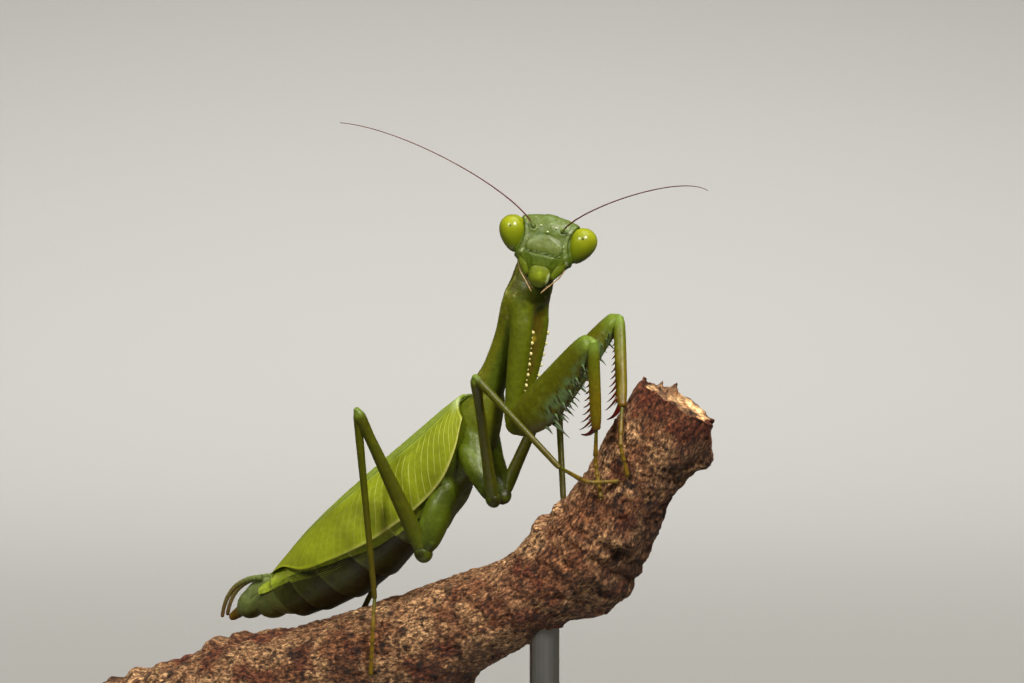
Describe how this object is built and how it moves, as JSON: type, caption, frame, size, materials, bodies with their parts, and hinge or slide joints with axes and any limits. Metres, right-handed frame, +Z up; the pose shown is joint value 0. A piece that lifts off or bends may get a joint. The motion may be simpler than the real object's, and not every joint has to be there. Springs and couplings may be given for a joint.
{
  "type": "praying mantis",
  "caption": "Life-size green mantis gripping a cut length of branch, head turned, folded wings and raised grasping forelegs, held on a low display stand by slim rods.",
  "frame": {"origin": "middle of the display base's flat underside", "axes": "+X the way the animal's body faces, +Y the animal's left, +Z up; the branch rises towards +X"},
  "size_m": [0.096, 0.056, 0.0961],
  "materials": {
    "head_green": "satin",
    "eye_lime": "glossy",
    "body_olive": "satin",
    "belly_green": "satin",
    "wing_green": "satin",
    "leg_olive": "satin",
    "tibia_ochre": "satin",
    "feeler_brown": "matte",
    "bark_brown": "rough bark",
    "base_white": "satin white lacquer",
    "rod_steel": "satin"
  },
  "bodies": {
    "root": {"abdomen_1": "belly_green", "abdomen_2": "belly_green", "abdomen_3": "belly_green", "antenna_left": "feeler_brown", "antenna_right": "feeler_brown", "branch": "bark_brown", "cercus_left": "body_olive", "cercus_right": "body_olive", "coxa_fore_left": "leg_olive", "coxa_fore_right": "leg_olive", "coxa_hind_left": "leg_olive", "coxa_hind_right": "leg_olive", "coxa_mid_left": "leg_olive", "coxa_mid_right": "leg_olive", "eye_left": "eye_lime", "eye_right": "eye_lime", "femur_fore_left": "leg_olive", "femur_fore_right": "leg_olive", "femur_hind_left": "leg_olive", "femur_hind_right": "leg_olive", "femur_mid_left": "leg_olive", "femur_mid_right": "leg_olive", "head": "head_green", "labrum": "head_green", "mandibles": "head_green", "neck": "body_olive", "palp_left": "head_green", "palp_right": "head_green", "prothorax": "body_olive", "stand_base": "base_white", "stand_rod_1": "rod_steel", "stand_rod_2": "rod_steel", "tail_plate": "belly_green", "tarsus_fore_left": "tibia_ochre", "tarsus_fore_right": "tibia_ochre", "tarsus_hind_left": "tibia_ochre", "tarsus_hind_right": "tibia_ochre", "tarsus_mid_left": "tibia_ochre", "tarsus_mid_right": "tibia_ochre", "tegmen_left": "wing_green", "tegmen_right": "wing_green", "thorax": "body_olive", "tibia_fore_left": "tibia_ochre", "tibia_fore_right": "tibia_ochre", "tibia_hind_left": "leg_olive", "tibia_hind_right": "leg_olive", "tibia_mid_left": "leg_olive", "tibia_mid_right": "leg_olive"}
  },
  "joints": []
}
